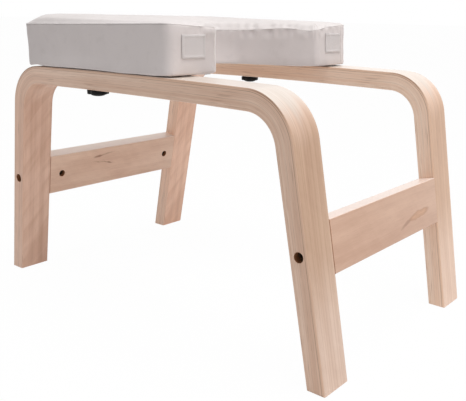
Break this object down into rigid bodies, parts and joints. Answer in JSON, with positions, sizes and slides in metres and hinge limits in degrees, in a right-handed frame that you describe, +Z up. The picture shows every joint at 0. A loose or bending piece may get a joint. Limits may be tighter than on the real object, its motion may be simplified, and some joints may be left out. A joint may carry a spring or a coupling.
{
  "type": "yoga headstand stool",
  "caption": "Bentwood headstand stool: padded U-shaped cushion clamped on laminated wooden frames with bare hand rails, cross rails, socket bolts and knobs that undo by hand.",
  "frame": {"origin": "on the floor, midway between the four feet", "axes": "+X along the frames towards the open end of the cushion, where the hand rails lie bare; +Y across them towards the far frame; +Z up"},
  "size_m": [0.625, 0.372, 0.398],
  "materials": {
    "bent_laminate": "pale laminated birch with a clear satin lacquer",
    "cross_rail_wood": "pale solid birch with a clear satin lacquer",
    "dowel_wood": "plain beech",
    "board_plywood": "plain plywood",
    "seat_foam": "open-cell foam",
    "seat_cover": "off-white coated upholstery fabric, matt with a soft sheen",
    "cover_label": "blank off-white woven label",
    "zinc_steel": "bright zinc plate",
    "blackened_steel": "black oxide",
    "knob_plastic": "black moulded plastic"
  },
  "bodies": {
    "stool": {"near_bent_frame": "bent_laminate", "far_bent_frame": "bent_laminate", "closed_end_cross_rail": "cross_rail_wood", "open_end_cross_rail": "cross_rail_wood", "closed_end_near_bolt": "blackened_steel", "closed_end_far_bolt": "blackened_steel", "open_end_near_bolt": "blackened_steel", "open_end_far_bolt": "blackened_steel", "closed_end_near_barrel_nut": "blackened_steel", "closed_end_far_barrel_nut": "blackened_steel", "open_end_near_barrel_nut": "blackened_steel", "open_end_far_barrel_nut": "blackened_steel", "closed_end_near_upper_dowel": "dowel_wood", "closed_end_near_lower_dowel": "dowel_wood", "closed_end_far_upper_dowel": "dowel_wood", "closed_end_far_lower_dowel": "dowel_wood", "open_end_near_upper_dowel": "dowel_wood", "open_end_near_lower_dowel": "dowel_wood", "open_end_far_upper_dowel": "dowel_wood", "open_end_far_lower_dowel": "dowel_wood", "cushion_board": "board_plywood", "cushion_foam": "seat_foam", "cushion_side_band": "seat_cover", "cushion_top_panel": "seat_cover", "near_arm_label": "cover_label", "far_arm_label": "cover_label", "near_threaded_insert": "zinc_steel", "far_threaded_insert": "zinc_steel"},
    "near_loose_washer": {"near_clamp_washer": "zinc_steel"},
    "near_clamp": {"near_clamp_knob": "knob_plastic", "near_clamp_stud": "zinc_steel"},
    "far_loose_washer": {"far_clamp_washer": "zinc_steel"},
    "far_clamp": {"far_clamp_knob": "knob_plastic", "far_clamp_stud": "zinc_steel"}
  },
  "joints": [
    {"name": "near_knob_travel", "type": "slide", "parent": "stool", "child": "near_loose_washer", "axis": [0, 0, -1], "range_m": [0, 0.01]},
    {"name": "near_knob_turn", "type": "hinge", "parent": "near_loose_washer", "child": "near_clamp", "pos_m": [-0.088, -0.16125, 0.3], "axis": [0, 0, -1], "range_deg": [0, 2880]},
    {"name": "far_knob_travel", "type": "slide", "parent": "stool", "child": "far_loose_washer", "axis": [0, 0, -1], "range_m": [0, 0.01]},
    {"name": "far_knob_turn", "type": "hinge", "parent": "far_loose_washer", "child": "far_clamp", "pos_m": [-0.088, 0.16125, 0.3], "axis": [0, 0, -1], "range_deg": [0, 2880]}
  ],
  "couplings": [
    {"joint": "near_knob_turn", "follows": "near_knob_travel", "rad_per_m": 5026.5},
    {"joint": "far_knob_turn", "follows": "far_knob_travel", "rad_per_m": 5026.5}
  ]
}
